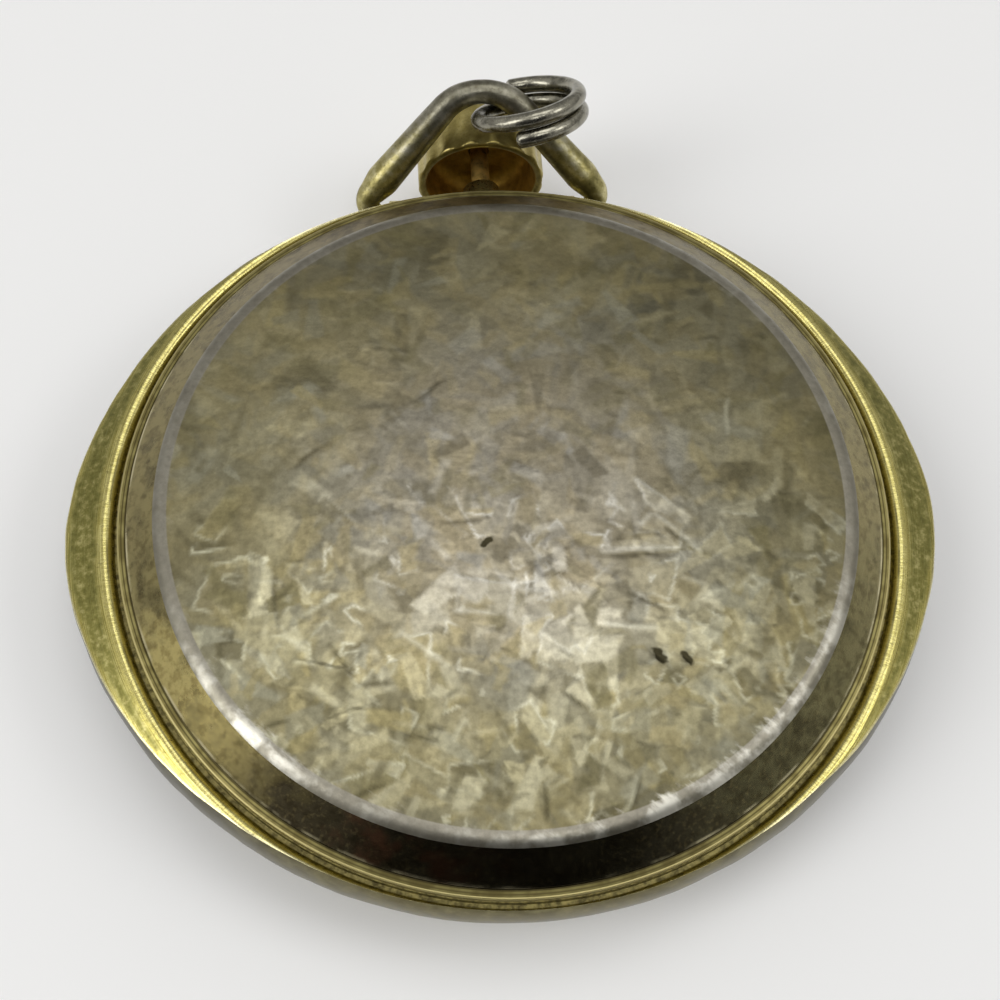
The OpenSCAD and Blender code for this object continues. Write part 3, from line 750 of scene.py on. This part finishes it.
def face_disc(radius):
    """Vertices and even triangles over the face, and where its last ring starts."""
    verts, faces, first = [(0.0, 0.0)], [], [0]
    for k in range(1, FACE_RINGS + 1):
        first.append(len(verts))
        a = circle(6 * k)
        rad = radius * k / FACE_RINGS
        verts.extend(zip(rad * np.cos(a), rad * np.sin(a)))
    for k in range(FACE_RINGS):
        n_in, n_out = max(1, 6 * k), 6 * (k + 1)
        for s in range(6):
            for i in range(k + 1):
                o1 = first[k + 1] + (s * (k + 1) + i) % n_out
                o2 = first[k + 1] + (s * (k + 1) + i + 1) % n_out
                i1 = first[k] + ((s * k + i) % n_in if k else 0)
                faces.append((i1, o1, o2))
                if i < k:
                    faces.append((i1, o2, first[k] + (s * k + i + 1) % n_in))
    return np.array(verts), faces, first[-1]


def face_relief(x, y, relief):
    """Adds slow waves, small knocks and the two nicks to the painted strokes' own height."""
    relief = relief + waves(46, 1.6, 9.0, 0.0032, 7)(x, y)
    dents = np.random.default_rng(19)
    for _ in range(70):
        rad = 14.5 * sqrt(dents.random())
        a = dents.random() * 2 * pi
        size = 0.25 + 0.9 * dents.random() ** 2
        d2 = (x - rad * cos(a)) ** 2 + (y - rad * sin(a)) ** 2
        relief -= (0.003 + 0.006 * dents.random()) * np.exp(-d2 / (size * size))
    for cx, cy, turn, long, wide, deep in DENTS:
        t = radians(turn)
        u = (x - cx) * cos(t) + (y - cy) * sin(t)
        v = -(x - cx) * sin(t) + (y - cy) * cos(t)
        relief -= deep * np.exp(-(u / long) ** 2 - (v / wide) ** 2)
    return relief


def build_cover():
    dome_r, start, prof = cover_profile()
    xy, faces, last = face_disc(start[0])
    r = np.hypot(xy[:, 0], xy[:, 1])
    z = FACE_Z + DOME_H - dome_r + np.sqrt(dome_r ** 2 - r ** 2)
    fade = ease(np.clip((start[0] - r) / 1.2, 0, 1))
    colour, sheen, relief = paint_face(xy, start[0] + 0.5)
    z = z + face_relief(xy[:, 0], xy[:, 1], relief) * fade - 0.012 * fade
    n, rows, base = 6 * FACE_RINGS, len(prof) - 1, len(xy)
    a = circle(n)
    side_r, side_z = prof[1:].T[..., None]
    body = np.stack([side_r * np.cos(a), side_r * np.sin(a), np.repeat(side_z, n, 1)], -1)
    verts = np.vstack([np.column_stack([xy, z]), body.reshape(-1, 3), [[0, 0, prof[-1, 1]]]])
    slots = [0] * len(faces)
    for j in range(rows):
        above = last if j == 0 else base + (j - 1) * n
        below = base + j * n
        for i in range(n):
            i2 = (i + 1) % n
            faces.append((above + i, below + i, below + i2, above + i2))
            slots.append(0 if j < EDGE_STEPS else 1)
    end = base + rows * n
    for i in range(n):
        faces.append((end - n + i, end, end - n + (i + 1) % n))
        slots.append(1)
    cover = make_piece("cover_shell", verts, faces, "case", [face_material(), bevel_material()],
                       "back_cover", 50, slots)
    # past the face the cover keeps one plain tone, for its rounded edge
    tones = np.full((len(verts), 4), 1.0)
    tones[:, :3] = (0.275, 0.256, 0.205)
    tones[:base, :3] = colour
    # the strokes' colours with their painted shade and highlights
    painted = cover.data.color_attributes.new("flake_and_painted_light_colour", "FLOAT_COLOR", "POINT")
    painted.data.foreach_set("color", tones.ravel())
    point_values(cover, "flake_sheen", np.append(sheen, np.zeros(len(verts) - base)))


# Case band

HALF_W, HALF_H = 21.1, 19.0
TIP_OFF = 4 * (HALF_W - HALF_H)
TIP_R = HALF_W - TIP_OFF
SIDE_OFF = TIP_OFF * 7 / 24
SIDE_R = HALF_H + SIDE_OFF
BAND_R, GIRTH_Z = 3.5, 4.8
LIP_START_R, LIP_R, LIP_Z, LIP_ROUND, LIP_END_R = 18.6, 19.05, 5.8936, 0.45, 19.2402
SHOULDER_Z, SHOULDER_SLOPE = 6.6, tan(radians(25))
FRONT_R, FRONT_Z, FRONT_SLOPE = 17.4, 2.4, tan(radians(8))
LIP_POINTS, WALL_POINTS = 9, 10
# Places in the section where the groove, the shoulder and the wall below it start
GROOVE_AT, LIP_AT, WALL_AT = 13, 31, 55
GOLD, SHOULDER, WALL, GRIME = range(4)
STEM_Z = 4.2
PIVOT = np.array([0.0, 18.95, 4.0])


def oval(angle, inset):
    """Distance from the axis to the oval's edge, drawn in by inset."""
    c, s = abs(cos(angle)), abs(sin(angle))
    tip, side = TIP_R - inset, SIDE_R - inset
    t = c * TIP_OFF + sqrt(max(0.0, (c * TIP_OFF) ** 2 - TIP_OFF ** 2 + tip ** 2))
    if atan2(t * s, t * c - TIP_OFF) <= atan2(7, 24):
        return t
    return -s * SIDE_OFF + sqrt((s * SIDE_OFF) ** 2 - SIDE_OFF ** 2 + side ** 2)


def band_r(angle, z):
    return oval(angle, BAND_R - sqrt(max(0.0, BAND_R ** 2 - (z - GIRTH_Z) ** 2)))


def crossing(angle, line, low, high):
    """Height where the band meets a turned line z = line(r)."""
    def over(z):
        return z - line(band_r(angle, z)) >= 0

    a, b = low, high
    for _ in range(40):
        m = 0.5 * (a + b)
        if over(a) == over(m):
            a = m
        else:
            b = m
    return 0.5 * (a + b)


def top_line(r):
    """Height of the lip and then of the shoulder at a distance from the axis."""
    if r < LIP_END_R:
        return LIP_Z + sqrt(max(0.0, LIP_ROUND ** 2 - (r - LIP_R) ** 2))
    return SHOULDER_Z - SHOULDER_SLOPE * (r - LIP_START_R)


def front_line(r):
    return FRONT_Z + FRONT_SLOPE * (r - FRONT_R)


def case_section(angle):
    """Section of the case at one angle: steps, groove, rounded lip, shoulder, band and front."""
    z_top = crossing(angle, top_line, GIRTH_Z, 7.4)
    z_low = crossing(angle, front_line, 2.2, GIRTH_Z)
    r_top = band_r(angle, z_top)
    lip_end = min(LIP_END_R, LIP_START_R + 0.7 * (r_top - LIP_START_R))
    turn = np.linspace(pi, acos((lip_end - LIP_R) / LIP_ROUND), LIP_POINTS)
    lip_line = [(LIP_R + LIP_ROUND * cos(t), LIP_Z + LIP_ROUND * sin(t)) for t in turn]
    across = [lip_end + (r_top - lip_end) * i / WALL_POINTS for i in range(1, WALL_POINTS)]
    wall = [(r, top_line(r)) for r in across]
    band = [(band_r(angle, v), v) for v in np.linspace(z_top - 0.3, z_low + 0.2, 16)]
    corners = [(16.2, 2.75), (16.2, 4.9), (17.0, 4.9), (17.0, FLANGE_LOW), (18.4, FLANGE_LOW),
               (18.4, 5.85), (LIP_START_R, 5.85)]
    rest = [(band_r(angle, z_low), z_low), (FRONT_R, FRONT_Z), (16.8, FRONT_Z), (16.8, 2.75)]
    pts = corners + lip_line + wall + [(r_top, z_top)] + band + rest
    radii = [0, 0.05, 0, 0.04, 0.04, 0.03, 0.03] + [0] * (len(lip_line) + len(wall)) + [0.28]
    radii += [0] * len(band) + [0.15, 0.08, 0.05, 0]
    return fillet(pts, radii, 5), r_top


def tube_grid():
    """Pendant tube, turned about the stem's axis."""
    prof = fillet([(0.55, 0), (0.55, 1.8), (1.0, 1.8), (1.0, 0)], [0, 0.06, 0.1, 0], 4)
    a = circle(48)[:, None]
    grid = np.zeros((48, len(prof), 3))
    grid[..., 0] = prof[:, 0] * np.cos(a)
    grid[..., 1] = 18.5 + prof[:, 1]
    grid[..., 2] = STEM_Z + prof[:, 0] * np.sin(a)
    return grid


def lug_grid(side):
    """Lug for one pin of the bow: round on the outside, square where it joins the case, with a bore."""
    t = [2 * pi * k / 64 for k in range(64)]
    bore = [(0.5 * cos(a), 0.5 * sin(a)) for a in t]
    outline = []
    for a in t:
        c, s = cos(a), sin(a)
        d = 0.75 if c >= 0 else min(1.15 / max(1e-6, -c), 0.75 / max(1e-6, abs(s)))
        outline.append((d * c, d * s))
    x0, x1 = 4.0 * side, 5.1 * side
    loops = []
    for pts, x, grow in ((bore, x0, 1.1), (outline, x0, 0.93), (outline, x0 + 0.07 * side, 1.0),
                         (outline, x1 - 0.07 * side, 1.0), (outline, x1, 0.93), (bore, x1, 1.1),
                         (bore, x1 - 0.05 * side, 1.0), (bore, x0 + 0.05 * side, 1.0)):
        loops.append([(x, PIVOT[1] + grow * y, PIVOT[2] + grow * z) for y, z in pts])
    return np.array(loops).transpose(1, 0, 2)


def build_case():
    angles = circle(840)
    sections, tops = map(np.array, zip(*[case_section(t) for t in angles]))
    turn = angles[:, None]
    verts = np.stack([sections[..., 0] * np.cos(turn), sections[..., 0] * np.sin(turn), sections[..., 1]], -1)
    outside = np.clip((np.hypot(verts[..., 0], verts[..., 1]) - 18.8) / 0.4, 0, 1)
    bump = waves(40, 0.9, 6.0, 0.006, 23)(verts[..., 0] + verts[..., 2] * 0.7, verts[..., 1]) * outside
    radial = np.stack([np.cos(turn), np.sin(turn)], -1)
    verts[..., :2] -= radial * (0.012 * outside + bump)[..., None]
    edge = tops[:, None] - np.hypot(verts[..., 0], verts[..., 1])
    place = np.full(sections.shape[1], GOLD)
    place[GROOVE_AT:LIP_AT] = GRIME
    place[LIP_AT:WALL_AT] = SHOULDER
    place[WALL_AT:] = WALL
    slots = np.tile(place, len(angles)).tolist()
    faces = grid_faces(len(angles), sections.shape[1])
    parts, count = [verts.reshape(-1, 3)], verts[..., 0].size
    for grid, flip in ((tube_grid(), False), (lug_grid(-1), False), (lug_grid(1), True)):
        parts.append(grid.reshape(-1, 3))
        more = grid_faces(grid.shape[0], grid.shape[1], start=count, flip=flip)
        faces.extend(more)
        slots.extend([GOLD] * len(more))
        count += len(parts[-1])
    metals = [gold_material("case_gold"), shoulder_material(), wall_material(), grime_material()]
    case = make_piece("case_band", np.vstack(parts), faces, "case", metals, "case_body", 45, slots)
    point_values(case, "edge_distance", np.append(edge.ravel(), np.full(count - edge.size, 1.0)))


# Crown

CROWN_Y, CROWN_R, FLUTES, FLUTE_STEPS = 20.7, 3.5, 16, 20


def build_crown():
    arc = [(2.5 + cos(t), 2.3 + sin(t)) for t in np.linspace(0.15, pi / 2, 9)]
    cup = [(0.02, 2.95), (0.55, 2.95), (0.55, 2.25), (2.6, 2.25)]
    rim = [(3.05, 0.0), (CROWN_R, 0.0), (CROWN_R, 2.3)]
    cap = [(1.6, 3.3), (0.8, 3.3), (0.02, 3.3)]
    radii = [0, 0.04, 0.06, 0.9, 0.2, 0.21] + [0] * (1 + len(arc) + len(cap))
    line = split_long(fillet(cup + rim + arc + cap, radii, 5, closed=False), 0.35)
    a = circle(FLUTES * FLUTE_STEPS)
    reach = CROWN_R - 0.01 - 0.045 * (1 + np.cos(FLUTES * a))
    r = np.minimum(line[:, 0], reach[:, None])
    verts = np.stack([r * np.sin(a)[:, None], np.repeat(CROWN_Y + line[None, :, 1], len(a), 0),
                      STEM_Z + r * np.cos(a)[:, None]], -1).reshape(-1, 3)
    faces = grid_faces(len(a), len(line), close_v=False)
    n, rows = len(verts), len(line)
    for i in range(0, n, rows):
        i2 = (i + rows) % n
        faces.append((i, n, i2))
        faces.append((i2 + rows - 1, n + 1, i + rows - 1))
    verts = np.vstack([verts, [[0, CROWN_Y + 2.95, STEM_Z], [0, CROWN_Y + 3.3, STEM_Z]]])
    make_piece("crown_shell", verts, faces, "crown", [crown_material()], "crown", 38)


# Bow and ring

TILT = radians(56)


def build_bow():
    top_r, foot_r, length, slope = 2.75, 0.75, 6.6, radians(48)
    apex = length - top_r
    leg_top = (top_r * sin(slope), apex + top_r * cos(slope))
    foot_x = leg_top[0] + leg_top[1] / tan(slope) - foot_r / tan(slope / 2)
    turn = pi - slope
    half = [(5.25, 0.0, 0.55)]
    for i in range(25):
        t = turn * i / 24
        half.append((foot_x + foot_r * sin(t), foot_r * (1 - cos(t)), 0.55 + 0.17 * i / 24))
    end = half[-1]
    for i in range(1, 24):
        f = i / 24
        half.append((end[0] + (leg_top[0] - end[0]) * f, end[1] + (leg_top[1] - end[1]) * f,
                     np.interp(f, (0, 0.15, 0.5, 1), (0.72, 0.90, 0.84, 0.72))))
    for i in range(24):
        t = turn + slope * i / 24
        half.append((top_r * sin(t), apex - top_r * cos(t), 0.72 - 0.10 * i / 24))
    line = np.array(half + [(0.0, length, 0.62)] + [(-u, v, r) for u, v, r in half[::-1]])
    u, v, radii = line.T
    centres = PIVOT + np.column_stack([u, v * cos(TILT), v * sin(TILT)])
    k = np.arange(len(line))
    radii = radii * (1 - 0.012 - 0.012 * np.sin(k * 0.31) * np.sin(k * 0.113 + 1))
    verts, faces = wire(centres, radii, np.array([0, -sin(TILT), cos(TILT)]))
    parts, count = [verts], len(verts)
    prof = fillet([(0.0, 0.0), (0.45, 0.0), (0.45, 1.5)], [0, 0.08, 0], 4, closed=False)
    a = circle(32)[:, None]
    for side in (-1, 1):
        pin = np.zeros((32, len(prof), 3))
        pin[..., 0] = side * (4.15 + prof[:, 1])
        pin[..., 1] = PIVOT[1] + prof[:, 0] * np.cos(a)
        pin[..., 2] = PIVOT[2] + prof[:, 0] * np.sin(a)
        parts.append(pin.reshape(-1, 3))
        faces.extend(grid_faces(32, len(prof), close_v=False, start=count, flip=side < 0))
        count += 32 * len(prof)
    make_piece("bow_wire", np.vstack(parts), faces, "bow", [bow_material()], "bow", 50)


def build_ring():
    a1, a2 = radians(54.3), radians(-9.9)
    axis = np.array([sin(a2), cos(a2) * cos(a1), cos(a2) * sin(a1)])
    e1 = np.cross([0, 0, 1], axis)
    e1 /= np.linalg.norm(e1)
    e2 = np.cross(axis, e1)
    centre = np.array([2.38, 21.1, 9.72])
    ring_r, pitch, turns, start = 2.66, 0.90, 1.6, radians(57)
    t = np.linspace(0, turns, 260)
    a = (start + 2 * pi * t)[:, None]
    centres = centre + ring_r * (np.cos(a) * e1 + np.sin(a) * e2) + ((t - turns / 2) * pitch)[:, None] * axis
    dist = np.minimum(t, turns - t) * 2 * pi * ring_r
    radii = 0.43 * np.sqrt(np.clip(1 - np.clip(1 - dist / 0.14, 0, 1) ** 2 * 0.35, 0, 1))
    verts, faces = wire(centres, radii, axis)
    nickel = steel_material("ring_nickel", (0.29, 0.275, 0.22), 0.13)
    make_piece("ring_wire", verts, faces, "bow", [nickel], "split_ring", 50)


build_cover()
build_case()
build_crown()
build_bow()
build_ring()

# Materials of the pieces that are shown as they are

black = hand_material()
node_materials = {
    "bezel": gold_material("bezel_gold"),
    "crystal": glass_material(),
    "dial": dial_material(),
    "hour_hand": black,
    "minute_hand": black,
    # the stem in the darker amber of the crown's hollow
    "winding_stem": steel_material("stem_amber", (0.62, 0.43, 0.13), 0.5),
}
for name, mat in node_materials.items():
    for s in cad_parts[name].material_slots:
        s.material = mat

# Floor, world and lights

half = 0.45
floor_mesh = bpy.data.meshes.new("floor")
floor_mesh.from_pydata([(-half, -half, 0), (half, -half, 0), (half, half, 0), (-half, half, 0)], [], [(0, 1, 2, 3)])
floor = new_object("floor", floor_mesh)
floor.location = (0, 0, -0.00002)
paper = bpy.data.materials.new("floor_paper")
paper.use_nodes = True
paper_inputs = paper.node_tree.nodes["Principled BSDF"].inputs
paper_inputs["Base Color"].default_value = (0.92, 0.92, 0.92, 1)
paper_inputs["Roughness"].default_value = 0.9
paper_inputs["Specular IOR Level"].default_value = 0.1
floor_mesh.materials.append(paper)


def build_world():
    """Soft studio surroundings: bright sides, dark at the front, dimmer at the back."""
    world = bpy.data.worlds.new("studio")
    bpy.context.scene.world = world
    world.use_nodes = True
    tree = world.node_tree
    tree.nodes.clear()

    def smooth(value, low, high, start, end):
        return add_node(tree, "ShaderNodeMapRange", {0: value, 1: low, 2: high, 3: start, 4: end},
                        interpolation_type="SMOOTHSTEP").outputs[0]

    direction = add_node(tree, "ShaderNodeTexCoord").outputs["Generated"]
    height = add_node(tree, "ShaderNodeSeparateXYZ", {0: direction}).outputs[2]
    level = smooth(height, 0.0, 0.6, 0.34, 0.66)
    for x, y, z, *limits in ((0, -0.83, 0.55, 0.72, 0.90, 1.0, 0.04), (0, 0.77, 0.64, 0.75, 0.97, 1.0, 0.55)):
        length = sqrt(x * x + y * y + z * z)
        toward = add_node(tree, "ShaderNodeVectorMath", {0: direction, 1: (x / length, y / length, z / length)},
                          operation="DOT_PRODUCT").outputs["Value"]
        level = add_node(tree, "ShaderNodeMath", {0: level, 1: smooth(toward, *limits)},
                         operation="MULTIPLY").outputs[0]
    shade = add_node(tree, "ShaderNodeBackground", {0: (1.0, 0.99, 0.965, 1), 1: level})
    add_node(tree, "ShaderNodeOutputWorld", {0: shade.outputs[0]})


def area_light(name, azimuth, elevation, distance, width, height, power):
    az, el = radians(azimuth), radians(elevation)
    d = Vector((cos(el) * cos(az), cos(el) * sin(az), sin(el)))
    data = bpy.data.lights.new(name, "AREA")
    data.shape = "RECTANGLE"
    data.size, data.size_y = width, height
    data.energy = power
    obj = new_object(name, data)
    obj.location = d * distance + Vector((0, 0, 0.006))
    obj.rotation_euler = d.to_track_quat("Z", "Y").to_euler()


build_world()
area_light("overhead", 75, 76, 0.40, 0.24, 0.16, 0.23)
area_light("front_top", 285, 66, 0.40, 0.12, 0.10, 0.15)
area_light("left_window", 199, 40, 0.40, 0.16, 0.32, 0.48)
area_light("right_window", 353, 48, 0.38, 0.13, 0.12, 0.15)

# Camera

cam_data = bpy.data.cameras.new("camera")
cam_data.lens = LENS
cam_data.sensor_width = SENSOR_WIDTH
cam_data.clip_start = 0.001
cam = new_object("camera", cam_data)
axes_and_place = np.column_stack([RIGHT, UP, BACK, CAMERA_PLACE * MM])
cam.matrix_world = Matrix([*axes_and_place.tolist(), (0, 0, 0, 1)])
bpy.context.scene.camera = cam

bpy.context.scene.view_settings.view_transform = "Standard"
bpy.context.view_layer.update()
